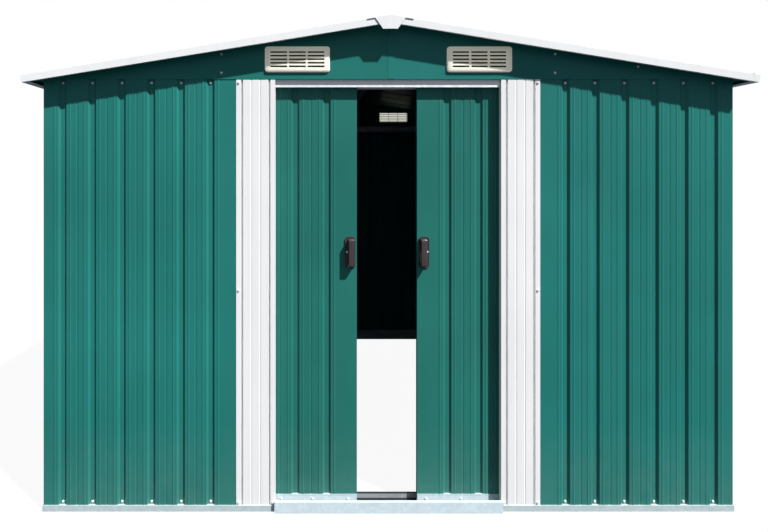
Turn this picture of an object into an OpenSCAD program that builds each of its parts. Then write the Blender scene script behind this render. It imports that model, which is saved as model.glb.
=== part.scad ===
// Metal storage shed with two sliding doors.
// Origin: centre of the footprint, on the ground. +X right, +Y to the back, +Z up.
// The doorway is in the front wall, which faces -Y.

/* [Body] */
// Width over the side walls
body_w = 2490; // [2100:10:3200]
// Depth over the front and rear walls
body_d = 1944; // [1500:10:3000]
// Height of the walls, from the ground to the foot of the gables
wall_h = 1560; // [1400:10:2000]

/* [Wall sheets] */
// Thickness of every painted sheet
sheet_t = 1; // [0.8:0.1:2]
// Distance from one groove of a wall to the next
groove_pitch = 107; // [90:1:140]
// Width of a groove at the face of the wall
groove_w = 30; // [20:1:40]
// Width of a groove's floor
groove_floor_w = 16; // [8:1:18]
// Depth of a groove
groove_depth = 7; // [4:0.5:10]
// Distance from a corner of the front wall to its first groove
corner_margin = 67.5; // [50:0.5:90]
// Distance from a groove to the fine rib beside it
fine_rib_offset = 27.5; // [22:0.5:32]
// Height of the fine ribs
fine_rib_h = 1; // [0.5:0.1:2]
// Depth of the sheet's return inside a corner
corner_return = 20; // [12:1:30]

/* [Doorway] */
// Clear width between the door posts
doorway_w = 816; // [700:2:1000]
// Width of a door post
post_w = 141; // [100:1:180]
// Width of the flat strip along each edge of a post
post_strip_w = 17; // [12:1:24]
// Width of the narrow groove beside that strip
post_groove_w = 8; // [6:0.5:12]
// Depth of the post's return into the doorway
post_return = 23; // [15:1:25]
// Height of the visible face of the header over the doorway
header_h = 27; // [20:1:40]

/* [Sliding doors] */
// Width of one door leaf
leaf_w = 452; // [430:1:500]
// Free gap between the two leaves as they stand
leaf_gap = 221; // [60:1:300]
// Gap that is left between the leaves when they are shut
shut_gap = 7; // [6:1:20]
// Distance from the face of the wall to the face of a leaf
leaf_setback = 30; // [30:1:50]
// Depth of a leaf over its folded edges
leaf_depth = 19; // [14:1:22]
// Distance from one groove of a leaf to the next
leaf_groove_pitch = 115; // [95:1:130]
// Depth of a leaf's grooves
leaf_groove_depth = 6; // [4:0.5:8]
// Length of a glide
glide_l = 34; // [20:1:60]
// Width of a glide
glide_w = 8; // [6:0.5:10]
// Sideways play of a glide in its track
glide_play = 1; // [0.5:0.1:1.5]

/* [Handles] */
// Height of a handle
handle_h = 115; // [90:1:150]
// Width of a handle's base plate
handle_w = 38; // [32:1:50]
// How far a handle stands out from its leaf
handle_depth = 28; // [24:1:36]
// Distance from the leaf's leading edge to the handle
handle_inset = 6; // [4:1:25]
// Height of the middle of a handle above the ground
handle_z = 930; // [800:5:1100]

/* [Rails] */
// Thickness of the galvanised rails
rail_t = 1.2; // [1:0.1:2]
// Height of the base rail in front of the walls
base_rail_h = 22; // [18:1:40]
// How far the base rail stands out from the wall
base_rail_proud = 3; // [2:0.5:8]
// Height of the base rail's upstand behind the sheets
base_upstand_top = 60; // [45:1:90]
// Width of the base rail's foot on the ground
base_foot_w = 42; // [30:1:60]
// Height of the door sill
sill_h = 40; // [30:1:50]
// How far the sill stands out from the wall
sill_proud = 14; // [8:1:30]
// Width of the top rails
top_rail_w = 36; // [25:1:50]

/* [Anchors] */
// Diameter of the anchor holes in the foot of the base rails
anchor_d = 8; // [6:0.5:12]
// Distance between the anchor holes along one side
anchor_spacing = 1400; // [800:10:1500]

/* [Roof] */
// Slope of the roof in degrees
roof_pitch = 9.2; // [6:0.1:14]
// How far the roof stands out from the walls, all round
roof_overhang = 53; // [40:1:90]
// Height of the roof's ribs
roof_rib_h = 11; // [8:0.5:16]
// Width of a roof rib at its foot
roof_rib_w = 36; // [28:1:50]
// Width of a roof rib at its crest
roof_rib_crest_w = 20; // [10:1:24]
// Number of gaps between the roof's ribs
roof_bays = 10; // [8:2:14]
// How far the white trim hangs below the roof sheet
trim_drop = 11; // [8:1:20]
// Width of the trim's top flange
trim_flange_w = 32; // [26:1:40]
// Half width of the open ridge between the roof panels
ridge_half_gap = 45; // [40:1:60]
// Width of each side of the ridge cap
ridge_cap_w = 82; // [70:1:120]
// How far the ends of the ridge cap stand out past the trims
ridge_cap_proud = 3; // [2:0.5:8]
// How far those turned-down ends hang below the ridge line
ridge_tab_drop = 34; // [26:1:44]
// Distance from the middle to a roof beam
roof_beam_x = 600; // [450:10:750]
// Depth of the roof beams
roof_beam_h = 32; // [24:1:45]

/* [Vents] */
// Width of a gable vent
vent_w = 234; // [180:1:260]
// Height of a gable vent
vent_h = 92; // [70:1:96]
// Distance from the middle of the gable to the middle of a vent
vent_x = 328; // [250:1:360]
// Height of the middle of a vent above the foot of the gable
vent_rise = 71; // [60:1:75]
// Thickness of a vent's plate
vent_t = 8; // [5:0.5:12]
// Width of one vent slot
slot_w = 61; // [40:1:65]
// Height of one vent slot
slot_h = 6; // [4:0.5:7]

/* [Hidden] */

LEFT = -1;
RIGHT = 1;
FRONT = 0;
REAR = 180;

green = [0.10, 0.45, 0.41];
white = [0.90, 0.91, 0.92];
zinc = [0.62, 0.65, 0.68];
cream = [0.93, 0.91, 0.82];
dark_plastic = [0.13, 0.10, 0.10];

// Planes of the walls. Front and rear are mirror images, so one half is enough.
side_x = body_w / 2;
front_y = -body_d / 2;
groove_back = groove_depth + sheet_t;
inner_x = side_x - groove_back;
inner_y = front_y + groove_back;
post_outer_x = doorway_w / 2 + post_w;
wall_edge_x = post_outer_x - post_strip_w + 2;

// Rails
rail_face_y = front_y - base_rail_proud;
rail_face_x = side_x + base_rail_proud;
header_z = wall_h - header_h;

// Doors
leaf_y = front_y + leaf_setback;
leaf_back_y = leaf_y + leaf_depth;
leaf_grooves = 3;
door_clearance = 5;
leaf_bottom_z = sill_h + 2 + rail_t;
leaf_top_z = header_z + 7;
door_rail_bottom_z = 14;
door_rail_proud = 1.2;
door_rail_h = 26;
leaf_edge_x = leaf_gap / 2;
leaf_lip = 18;
glide_y = leaf_y + leaf_depth / 2;
glide_rest = 0.3;
glide_top_z = leaf_top_z + 14;
glide_inset = 40;
track_guide_z = door_rail_bottom_z - door_clearance;
track_back_y = leaf_back_y + 10;
track_back_h = 32;
header_guide_z = leaf_top_z + door_clearance;
header_lip = 14;

// Roof: positions in the slope frame run down the slope from the ridge line (u),
// along the ridge (y) and up from the underside of the sheets (w).
slope = tan(roof_pitch);
ridge_z = wall_h + slope * side_x;
roof_y = body_d / 2 + roof_overhang;
roof_u = (side_x + roof_overhang) / cos(roof_pitch);
trim_play = 0.05;
rib_top = roof_rib_h + sheet_t + trim_play;
trim_top = rib_top + sheet_t;
cap_under = trim_top + trim_play;
cap_top = cap_under + sheet_t;
roof_rib_pitch = (2 * roof_y - trim_flange_w) / roof_bays;
trim_lip = 10;
eave_lip = 22;
notch_low_x = 24;
notch_high_x = 42;
ridge_tab_low_x = 26;
ridge_tab_high_x = 54;
ridge_beam_web_z = ridge_z - 48;
ridge_beam_leg_x = ridge_half_gap + 1;
ridge_beam_flange_w = 24;

// Gables
gable_y = front_y - 1 - sheet_t;
gable_flange_w = 30;
gable_end_x = side_x - 10;
vent_z = wall_h + vent_rise;
vent_corner_r = 10;
vent_rim = 3;
vent_rows = 5;
vent_columns = 3;
slot_gap_x = 8;
slot_pitch_z = 13;
louvre_w = vent_columns * slot_w + (vent_columns - 1) * slot_gap_x;
louvre_h = (vent_rows - 1) * slot_pitch_z + slot_h;
vent_hole_margin = 4;

// ---------- Profiles ----------

function reverse(list) = [for (i = [len(list) - 1 : -1 : 0]) list[i]];

// Points of a sheet's line through its presses. A press is [centre, half width, half width
// at its far end, depth], and the list of presses runs in order of x.
function press_points(presses, lift) = [
  for (p = presses) each [
    [p[0] - p[1], lift],
    [p[0] - p[2], lift + p[3]],
    [p[0] + p[2], lift + p[3]],
    [p[0] + p[1], lift]
  ]
];

// Line round a folded edge at x, on the sheet's face or on its back: into is 1 or -1
// towards the sheet, fold is the depth of the fold and lip the width of its return.
function fold_face(x, into, fold, lip) =
  fold == 0 ? [[x, 0]] :
  lip == 0 ? [[x, fold], [x, 0]] :
  [[x + into * lip, fold], [x, fold], [x, 0]];

function fold_back(x, into, fold, lip, t) =
  fold == 0 ? [[x, t]] :
  lip == 0 ? [[x + into * t, fold], [x + into * t, t]] :
  [[x + into * lip, fold - t], [x + into * t, fold - t], [x + into * t, t]];

// Area between a line and a second one that runs the same way.
module strip(face, back) {
  polygon(concat(face, reverse(back)));
}

// Cross-section of a pressed sheet from x0 to x1, with folds at its ends.
module pressed_profile(x0, x1, presses, fold0 = 0, fold1 = 0, lip = 0, t = sheet_t) {
  strip(
    concat(fold_face(x0, 1, fold0, lip), press_points(presses, 0),
      reverse(fold_face(x1, -1, fold1, lip))),
    concat(fold_back(x0, 1, fold0, lip, t), press_points(presses, t),
      reverse(fold_back(x1, -1, fold1, lip, t)))
  );
}

// Presses of a wall: a deep groove with a fine rib on each side, and a fine groove
// in the middle of each pan.
function wall_presses(first, count, pitch, depth) = [
  for (i = [0 : count - 1], k = [0 : 3])
    let (x = first + i * pitch)
    if (k < 3 || i < count - 1)
      [
        [x - fine_rib_offset, 4, 1, -fine_rib_h],
        [x, groove_w / 2, groove_floor_w / 2, depth],
        [x + fine_rib_offset, 4, 1, -fine_rib_h],
        [x + pitch / 2, 4, 1, fine_rib_h]
      ][k]
];

function grooves_in(length) = floor((length - 2 * corner_margin) / groove_pitch) + 1;

// ---------- Placing ----------

module on_side(side) {
  mirror([side == LEFT ? 1 : 0, 0, 0]) children();
}

module at_end(turn) {
  mirror([0, turn == REAR ? 1 : 0, 0]) children();
}

// Slope frame of one half of the roof: x down the slope, z up from the sheets' underside.
module on_slope(side) {
  on_side(side) translate([0, 0, ridge_z]) rotate([0, roof_pitch, 0]) children();
}

// Box from its lowest to its highest corner.
module block(low, high) {
  translate(low) cube(high - low);
}

// Extrudes a profile drawn in X and Z along Y.
module along_y(y0, y1) {
  translate([0, y1, 0]) rotate([90, 0, 0]) linear_extrude(y1 - y0) children();
}

// Extrudes a profile drawn in Y and Z along X.
module along_x(x0, x1) {
  translate([x0, 0, 0]) rotate([90, 0, 90]) linear_extrude(x1 - x0) children();
}

module plate2d(low, high) {
  translate(low) square(high - low);
}

// ---------- Base ----------

module base_rail_side(side) {
  color(zinc) on_side(side) difference() {
    union() {
      block([rail_face_x - rail_t, rail_face_y + rail_t, 0],
        [rail_face_x, -rail_face_y - rail_t, base_rail_h]);
      block([inner_x - rail_t, inner_y + rail_t, base_rail_h - rail_t],
        [rail_face_x, -inner_y - rail_t, base_rail_h]);
      block([inner_x - rail_t, inner_y + rail_t, base_rail_h - rail_t],
        [inner_x, -inner_y - rail_t, base_upstand_top]);
      block([rail_face_x - base_foot_w, track_back_y, 0],
        [rail_face_x, -rail_face_y - rail_t, rail_t]);
    }
    for (end = [-1, 1])
      translate([rail_face_x - base_foot_w / 2, end * anchor_spacing / 2, -1])
        cylinder(h = rail_t + 2, d = anchor_d, $fn = 32);
  }
}

module base_rail_rear() {
  color(zinc) at_end(REAR) {
    block([-rail_face_x, rail_face_y, 0], [rail_face_x, rail_face_y + rail_t, base_rail_h]);
    block([-rail_face_x + rail_t, rail_face_y, base_rail_h - rail_t],
      [rail_face_x - rail_t, inner_y + rail_t, base_rail_h]);
    block([-inner_x, inner_y, base_rail_h - rail_t],
      [inner_x, inner_y + rail_t, base_upstand_top]);
    block([-rail_face_x + base_foot_w, rail_face_y, 0],
      [rail_face_x - base_foot_w, rail_face_y + base_foot_w, rail_t]);
  }
}

module base_rail_front(side) {
  sill_end = doorway_w / 2 + 2;
  color(zinc) on_side(side) {
    block([sill_end, rail_face_y, 0], [rail_face_x, rail_face_y + rail_t, base_rail_h]);
    block([sill_end, rail_face_y, base_rail_h - rail_t],
      [rail_face_x - rail_t, inner_y + rail_t, base_rail_h]);
    block([sill_end, inner_y, base_rail_h - rail_t],
      [inner_x, inner_y + rail_t, base_upstand_top]);
  }
}

module door_sill() {
  sill_end = doorway_w / 2 + 2;
  sill_face_y = front_y - sill_proud;
  back_y = rail_face_y + rail_t;
  color(zinc) along_x(-sill_end, sill_end) {
    plate2d([sill_face_y, 0], [sill_face_y + rail_t, sill_h]);
    plate2d([sill_face_y, sill_h - rail_t], [back_y, sill_h]);
    plate2d([back_y - rail_t, 0], [back_y, sill_h]);
  }
}

module door_track() {
  guide = glide_w / 2 + glide_play;
  floor_end = rail_face_x - rail_t;
  guide_end = inner_x - rail_t;
  color(zinc) {
    along_x(-floor_end, floor_end) plate2d([rail_face_y + rail_t, 0], [track_back_y, rail_t]);
    along_x(-guide_end, guide_end) {
      plate2d([track_back_y - rail_t, 0], [track_back_y, track_back_h]);
      plate2d([glide_y - guide - rail_t, 0], [glide_y - guide, track_guide_z]);
      plate2d([glide_y + guide, 0], [glide_y + guide + rail_t, track_guide_z]);
    }
  }
}

// ---------- Walls ----------

module front_wall(side) {
  visible = side_x - post_outer_x;
  count = floor((visible - corner_margin - groove_w) / groove_pitch) + 1;
  last = side_x - corner_margin;
  first = last - (count - 1) * groove_pitch;
  color(green) on_side(side) translate([0, front_y, base_rail_h])
    linear_extrude(wall_h - base_rail_h)
      pressed_profile(wall_edge_x, side_x - sheet_t,
        wall_presses(first, count, groove_pitch, groove_depth), fold1 = corner_return);
}

module side_wall(side) {
  count = grooves_in(body_d);
  first = -(count - 1) * groove_pitch / 2;
  // The fine ribs stand out under the falling roof, so the sheet ends a little lower.
  top_z = wall_h - slope * fine_rib_h;
  color(green) on_side(side) translate([side_x, 0, base_rail_h]) rotate([0, 0, 90])
    linear_extrude(top_z - base_rail_h)
      pressed_profile(front_y, -front_y,
        wall_presses(first, count, groove_pitch, groove_depth));
}

module rear_wall() {
  end_x = side_x - sheet_t;
  count = grooves_in(2 * end_x);
  first = -(count - 1) * groove_pitch / 2;
  color(green) at_end(REAR) translate([0, front_y, base_rail_h])
    linear_extrude(wall_h - base_rail_h)
      pressed_profile(-end_x, end_x, wall_presses(first, count, groove_pitch, groove_depth),
        fold0 = corner_return, fold1 = corner_return);
}

module door_post(side) {
  inner = doorway_w / 2;
  middle = inner + post_w / 2;
  groove_from_middle = post_w / 2 - post_strip_w - post_groove_w / 2;
  presses = [
    [middle - groove_from_middle, post_groove_w / 2, post_groove_w / 2 - 1.5, groove_back],
    [middle - 16, 3, 1, fine_rib_h],
    [middle + 16, 3, 1, fine_rib_h],
    [middle + groove_from_middle, post_groove_w / 2, post_groove_w / 2 - 1.5, groove_back]
  ];
  color(white) on_side(side) {
    translate([0, front_y - sheet_t, base_rail_h]) linear_extrude(wall_h - base_rail_h)
      pressed_profile(inner, post_outer_x, presses);
    block([inner, front_y - sheet_t, base_rail_h],
      [inner + sheet_t, front_y - sheet_t + post_return, header_z]);
  }
}

module door_header() {
  guide = glide_w / 2 + glide_play;
  color(zinc) along_x(-inner_x, inner_x) {
    plate2d([inner_y, header_z], [inner_y + rail_t, wall_h]);
    plate2d([inner_y, header_z], [inner_y + header_lip, header_z + rail_t]);
    plate2d([inner_y, wall_h - rail_t], [track_back_y, wall_h]);
    plate2d([track_back_y - rail_t, header_z], [track_back_y, wall_h]);
    plate2d([glide_y - guide - rail_t, header_guide_z], [glide_y - guide, wall_h]);
    plate2d([glide_y + guide, header_guide_z], [glide_y + guide + rail_t, wall_h]);
  }
}

module top_rail_side(side) {
  color(zinc) on_side(side) along_y(track_back_y, -inner_y - top_rail_w) {
    plate2d([inner_x - rail_t, wall_h - top_rail_w], [inner_x, wall_h]);
    plate2d([inner_x - top_rail_w, wall_h - rail_t], [inner_x, wall_h]);
  }
}

module top_rail_rear() {
  color(zinc) at_end(REAR) along_x(-inner_x, inner_x) {
    plate2d([inner_y, wall_h - top_rail_w], [inner_y + rail_t, wall_h]);
    plate2d([inner_y, wall_h - rail_t], [inner_y + top_rail_w, wall_h]);
  }
}

// ---------- Gables and vents ----------

module gable(side, turn) {
  color(green) at_end(turn) on_side(side) difference() {
    union() {
      along_y(gable_y, gable_y + sheet_t)
        polygon([
          [0, wall_h],
          [gable_end_x, wall_h],
          [gable_end_x, ridge_z - slope * gable_end_x],
          [0, ridge_z]
        ]);
      block([0, gable_y, wall_h], [gable_end_x, gable_y + gable_flange_w, wall_h + sheet_t]);
    }
    block([vent_x - louvre_w / 2 - vent_hole_margin, gable_y - 1,
        vent_z - louvre_h / 2 - vent_hole_margin],
      [vent_x + louvre_w / 2 + vent_hole_margin, gable_y + sheet_t + 1,
        vent_z + louvre_h / 2 + vent_hole_margin]);
  }
}

// Plate with round corners, drawn around its middle in X and Z.
module round_plate(w, h, r, y0, y1) {
  along_y(y0, y1) {
    square([w - 2 * r, h], center = true);
    square([w, h - 2 * r], center = true);
    for (sx = [-1, 1], sz = [-1, 1])
      translate([sx * (w / 2 - r), sz * (h / 2 - r)]) circle(r = r, $fn = 32);
  }
}

module vent(side) {
  on_side(side) translate([vent_x, gable_y, vent_z]) difference() {
    union() {
      round_plate(vent_w, vent_h, vent_corner_r, -vent_t + vent_rim, 0);
      round_plate(vent_w - 2 * vent_rim, vent_h - 2 * vent_rim, vent_corner_r - vent_rim,
        -vent_t, 0);
    }
    for (column = [0 : vent_columns - 1], row = [0 : vent_rows - 1])
      translate([
          (column - (vent_columns - 1) / 2) * (slot_w + slot_gap_x),
          -vent_t / 2,
          (row - (vent_rows - 1) / 2) * slot_pitch_z
        ])
        cube([slot_w, vent_t + 2, slot_h], center = true);
  }
}

module vents_rear() {
  color(cream) at_end(REAR) {
    vent(LEFT);
    vent(RIGHT);
  }
}

// ---------- Roof ----------

module roof_panel(side) {
  half_pan = roof_rib_pitch / 2;
  presses = [
    for (i = [0 : roof_bays], k = [0 : 2])
      let (y = (i - roof_bays / 2) * roof_rib_pitch)
      if (k == 0 || i < roof_bays)
        [
          [y, roof_rib_w / 2, roof_rib_crest_w / 2, roof_rib_h],
          [y + half_pan - 28, 5, 1.5, 1.5],
          [y + half_pan + 28, 5, 1.5, 1.5]
        ][k]
  ];
  // The outermost ribs stay up as far as the sheet's edge, inside the trim.
  edge = roof_y - sheet_t;
  outer_rib_y = roof_bays / 2 * roof_rib_pitch;
  foot_y = outer_rib_y - roof_rib_w / 2;
  crest_y = outer_rib_y - roof_rib_crest_w / 2;
  inner = [for (p = presses) if (abs(p[0]) + p[1] < outer_rib_y) p];
  line = function (lift) concat(
    [[-edge, lift + roof_rib_h], [-crest_y, lift + roof_rib_h], [-foot_y, lift]],
    press_points(inner, lift),
    [[foot_y, lift], [crest_y, lift + roof_rib_h], [edge, lift + roof_rib_h]]
  );
  color(green) on_slope(side)
    along_x(ridge_half_gap / cos(roof_pitch), roof_u - sheet_t - trim_play)
      strip(line(0), line(sheet_t));
}

module ridge_cap() {
  z_at = function (x, w) ridge_z - slope * x + w / cos(roof_pitch);
  end_y = roof_y + ridge_cap_proud;
  color(white) {
    along_y(-end_y, end_y)
      polygon([
        [-ridge_cap_w, z_at(ridge_cap_w, cap_under)],
        [0, z_at(0, cap_under)],
        [ridge_cap_w, z_at(ridge_cap_w, cap_under)],
        [ridge_cap_w, z_at(ridge_cap_w, cap_top)],
        [0, z_at(0, cap_top)],
        [-ridge_cap_w, z_at(ridge_cap_w, cap_top)]
      ]);
    for (turn = [FRONT, REAR]) at_end(turn) along_y(-end_y, -end_y + sheet_t)
      polygon([
        [-ridge_tab_low_x, ridge_z - ridge_tab_drop],
        [ridge_tab_low_x, ridge_z - ridge_tab_drop],
        [ridge_tab_high_x, z_at(ridge_tab_high_x, cap_top)],
        [0, z_at(0, cap_top)],
        [-ridge_tab_high_x, z_at(ridge_tab_high_x, cap_top)]
      ]);
  }
}

module roof_trim(side, turn) {
  low_u = notch_low_x / cos(roof_pitch);
  high_u = notch_high_x / cos(roof_pitch);
  color(white) at_end(turn) on_slope(side) {
    along_y(-roof_y, -roof_y + sheet_t)
      polygon([
        [low_u, -trim_drop],
        [roof_u, -trim_drop],
        [roof_u, trim_top],
        [high_u, trim_top]
      ]);
    block([high_u, -roof_y, rib_top], [roof_u, -roof_y + trim_flange_w, trim_top]);
    block([low_u, -roof_y, -trim_drop], [roof_u - eave_lip, -roof_y + trim_lip,
      -trim_drop + sheet_t]);
  }
}

module eave_trim(side) {
  inside_y = roof_y - sheet_t;
  color(white) on_slope(side) {
    block([roof_u - sheet_t, -inside_y, -trim_drop], [roof_u, inside_y, rib_top]);
    block([roof_u - trim_flange_w, -roof_y + trim_flange_w, rib_top],
      [roof_u, roof_y - trim_flange_w, trim_top]);
    block([roof_u - eave_lip, -inside_y, -trim_drop], [roof_u, inside_y, -trim_drop + sheet_t]);
  }
}

module roof_beam(side) {
  half = 20;
  foot = 14;
  middle = roof_beam_x / cos(roof_pitch);
  inside_y = gable_y + sheet_t;
  color(zinc) on_slope(side) along_y(inside_y, -inside_y) {
    plate2d([middle - half, -roof_beam_h], [middle + half, -roof_beam_h + rail_t]);
    for (s = [-1, 1]) translate([middle, 0]) mirror([s < 0 ? 1 : 0, 0]) {
      plate2d([half - rail_t, -roof_beam_h], [half, 0]);
      plate2d([half - rail_t, -rail_t], [half + foot, 0]);
    }
  }
}

module ridge_beam() {
  leg = ridge_beam_leg_x;
  tip = leg + ridge_beam_flange_w;
  under = function (x) ridge_z - slope * x;
  drop = rail_t / cos(roof_pitch);
  inside_y = gable_y + sheet_t;
  half = [
    [leg, ridge_beam_web_z + rail_t],
    [leg, under(leg)],
    [tip, under(tip)],
    [tip, under(tip) - drop],
    [leg + rail_t, under(leg + rail_t) - drop],
    [leg + rail_t, ridge_beam_web_z]
  ];
  other_half = [for (p = reverse(half)) [-p[0], p[1]]];
  color(zinc) along_y(inside_y, -inside_y) polygon(concat(half, other_half));
}

// ---------- Sliding doors ----------

// The right leaf as it stands, from its leading edge outwards.
module door_leaf(side) {
  first = leaf_edge_x + leaf_w / 2 - leaf_groove_pitch;
  outer = leaf_edge_x + leaf_w;
  color(green) on_side(side) translate([0, leaf_y, leaf_bottom_z])
    linear_extrude(leaf_top_z - leaf_bottom_z)
      pressed_profile(leaf_edge_x, outer,
        wall_presses(first, leaf_grooves, leaf_groove_pitch, leaf_groove_depth),
        fold0 = leaf_depth, fold1 = leaf_depth, lip = leaf_lip);
}

module door_rails(side) {
  outer = leaf_edge_x + leaf_w;
  front = leaf_y - door_rail_proud;
  groove_back_y = leaf_y + leaf_groove_depth + sheet_t;
  color(zinc) on_side(side) {
    along_x(leaf_edge_x, outer) {
      plate2d([front, door_rail_bottom_z], [front + rail_t, leaf_bottom_z]);
      plate2d([front - door_rail_proud, leaf_bottom_z - rail_t],
        [leaf_back_y, leaf_bottom_z]);
      plate2d([front, door_rail_bottom_z],
        [leaf_back_y, door_rail_bottom_z + rail_t]);
    }
    along_x(leaf_edge_x + sheet_t, outer - sheet_t) {
      plate2d([groove_back_y, leaf_top_z - door_rail_h],
        [groove_back_y + rail_t, leaf_top_z]);
      plate2d([groove_back_y, leaf_top_z - rail_t],
        [leaf_back_y - sheet_t, leaf_top_z]);
    }
  }
}

module door_glides(side) {
  near = leaf_edge_x + glide_inset;
  far = leaf_edge_x + leaf_w - glide_inset - glide_l;
  color(dark_plastic) on_side(side)
    for (x = [near, far]) {
      block([x, glide_y - glide_w / 2, rail_t + glide_rest],
        [x + glide_l, glide_y + glide_w / 2, door_rail_bottom_z]);
      block([x, glide_y - glide_w / 2, leaf_top_z],
        [x + glide_l, glide_y + glide_w / 2, glide_top_z]);
    }
}

module door_handle(side) {
  plate_t = 4;
  grip_w = 20;
  grip_h = 98;
  grip_t = 9;
  leg_h = 14;
  corner_r = 10;
  middle_x = leaf_edge_x + handle_inset + handle_w / 2;
  color(dark_plastic) on_side(side) translate([middle_x, leaf_y, handle_z]) {
    round_plate(handle_w, handle_h, corner_r, -plate_t, 0);
    for (s = [-1, 1])
      block([-grip_w / 2, -handle_depth + 1, s * (grip_h - leg_h) / 2 - leg_h / 2],
        [grip_w / 2, -1, s * (grip_h - leg_h) / 2 + leg_h / 2]);
    round_plate(grip_w, grip_h, 5, -handle_depth, -handle_depth + grip_t);
  }
}

// ---------- Nodes ----------

base_rail_side(LEFT);  // base_rail_left
base_rail_side(RIGHT);  // base_rail_right
base_rail_rear();
base_rail_front(LEFT);  // base_rail_front_left
base_rail_front(RIGHT);  // base_rail_front_right
door_sill();
door_track();
front_wall(LEFT);  // front_wall_left
front_wall(RIGHT);  // front_wall_right
side_wall(LEFT);  // side_wall_left
side_wall(RIGHT);  // side_wall_right
rear_wall();
door_post(LEFT);  // door_post_left
door_post(RIGHT);  // door_post_right
gable(LEFT, FRONT);  // front_gable_left
gable(RIGHT, FRONT);  // front_gable_right
gable(LEFT, REAR);  // rear_gable_left
gable(RIGHT, REAR);  // rear_gable_right
top_rail_side(LEFT);  // top_rail_left
top_rail_side(RIGHT);  // top_rail_right
top_rail_rear();
door_header();
roof_beam(LEFT);  // roof_beam_left
roof_beam(RIGHT);  // roof_beam_right
ridge_beam();
roof_panel(LEFT);  // roof_panel_left
roof_panel(RIGHT);  // roof_panel_right
ridge_cap();
roof_trim(LEFT, FRONT);  // roof_trim_front_left
roof_trim(RIGHT, FRONT);  // roof_trim_front_right
roof_trim(LEFT, REAR);  // roof_trim_rear_left
roof_trim(RIGHT, REAR);  // roof_trim_rear_right
eave_trim(LEFT);  // eave_trim_left
eave_trim(RIGHT);  // eave_trim_right
color(cream) vent(LEFT);  // vent_front_left
color(cream) vent(RIGHT);  // vent_front_right
vents_rear();
door_leaf(LEFT);  // door_leaf_left
door_rails(LEFT);  // door_rails_left
door_handle(LEFT);  // door_handle_left
door_glides(LEFT);  // door_glides_left
door_leaf(RIGHT);  // door_leaf_right
door_rails(RIGHT);  // door_rails_right
door_handle(RIGHT);  // door_handle_right
door_glides(RIGHT);  // door_glides_right
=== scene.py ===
"""Metal storage shed with two sliding doors: its finishes, its screws and its small mouldings."""

import math

import bmesh
import bpy
from bpy.props import FloatProperty, FloatVectorProperty, IntProperty, PointerProperty
from mathutils import Matrix, Vector


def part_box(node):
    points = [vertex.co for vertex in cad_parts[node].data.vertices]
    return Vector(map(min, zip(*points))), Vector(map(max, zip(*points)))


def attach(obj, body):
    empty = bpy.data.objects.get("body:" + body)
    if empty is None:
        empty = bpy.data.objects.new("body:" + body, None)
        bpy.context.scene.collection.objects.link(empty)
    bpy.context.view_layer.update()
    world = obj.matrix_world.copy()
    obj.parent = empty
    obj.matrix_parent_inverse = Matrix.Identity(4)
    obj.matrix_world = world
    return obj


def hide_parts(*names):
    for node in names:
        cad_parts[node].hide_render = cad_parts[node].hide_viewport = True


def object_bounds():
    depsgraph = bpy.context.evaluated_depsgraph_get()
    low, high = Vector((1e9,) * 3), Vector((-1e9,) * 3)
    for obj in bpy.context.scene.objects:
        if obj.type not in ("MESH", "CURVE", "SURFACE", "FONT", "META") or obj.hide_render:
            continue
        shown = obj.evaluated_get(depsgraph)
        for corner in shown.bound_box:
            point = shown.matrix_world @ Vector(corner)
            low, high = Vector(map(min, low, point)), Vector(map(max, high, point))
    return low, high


bl_info = {
    "name": "Metal Storage Shed",
    "version": (1, 0, 0),
    "blender": (4, 5, 0),
    "location": "View3D > Sidebar > Shed",
    "description": "Finishes a metal shed with sliding doors and adds screws, handles and vents",
    "category": "Object",
}

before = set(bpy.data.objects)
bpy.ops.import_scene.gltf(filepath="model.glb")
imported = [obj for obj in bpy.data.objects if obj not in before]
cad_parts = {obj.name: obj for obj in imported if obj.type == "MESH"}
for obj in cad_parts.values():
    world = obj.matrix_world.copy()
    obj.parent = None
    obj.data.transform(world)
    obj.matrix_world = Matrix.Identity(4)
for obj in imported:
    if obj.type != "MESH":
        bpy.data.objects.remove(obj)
cad_low, cad_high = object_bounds()

SIDES = {"left": -1, "right": 1}

# Boxes of the nodes that the small pieces are placed from.
_, side_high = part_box("side_wall_right")
rails_low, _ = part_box("door_rails_right")
post_low, post_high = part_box("door_post_right")
gable_low, gable_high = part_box("front_gable_right")
panel_low, panel_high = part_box("roof_panel_right")
trim_low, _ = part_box("roof_trim_front_right")
handle_low, handle_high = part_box("door_handle_right")
_, header_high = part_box("door_header")
_, track_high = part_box("door_track")

FINE_RIB = 0.001  # How far a wall's fine ribs stand out from its face
SHEET = 0.001  # Thickness of a painted sheet
PLAY = 0.00005  # Gap between a trim and the sheet that it lies on
DISH_DEPTH = 0.0009  # Depth of the dish in a handle's base plate
WALL_FACE_X = side_high.x - FINE_RIB
WALL_FACE_Y = side_high.y
WALL_TOP = post_high.z
GABLE_FACE = abs(gable_low.y)

STREAKS_UPRIGHT, STREAKS_SIDEWAYS = (26, 26, 1.4), (1.4, 26, 26)
DUST_COLOUR = (0.42, 0.40, 0.34)
BLOOM_COLOUR = (0.80, 0.83, 0.85)


# ---------- Sizes and colours ----------


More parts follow.
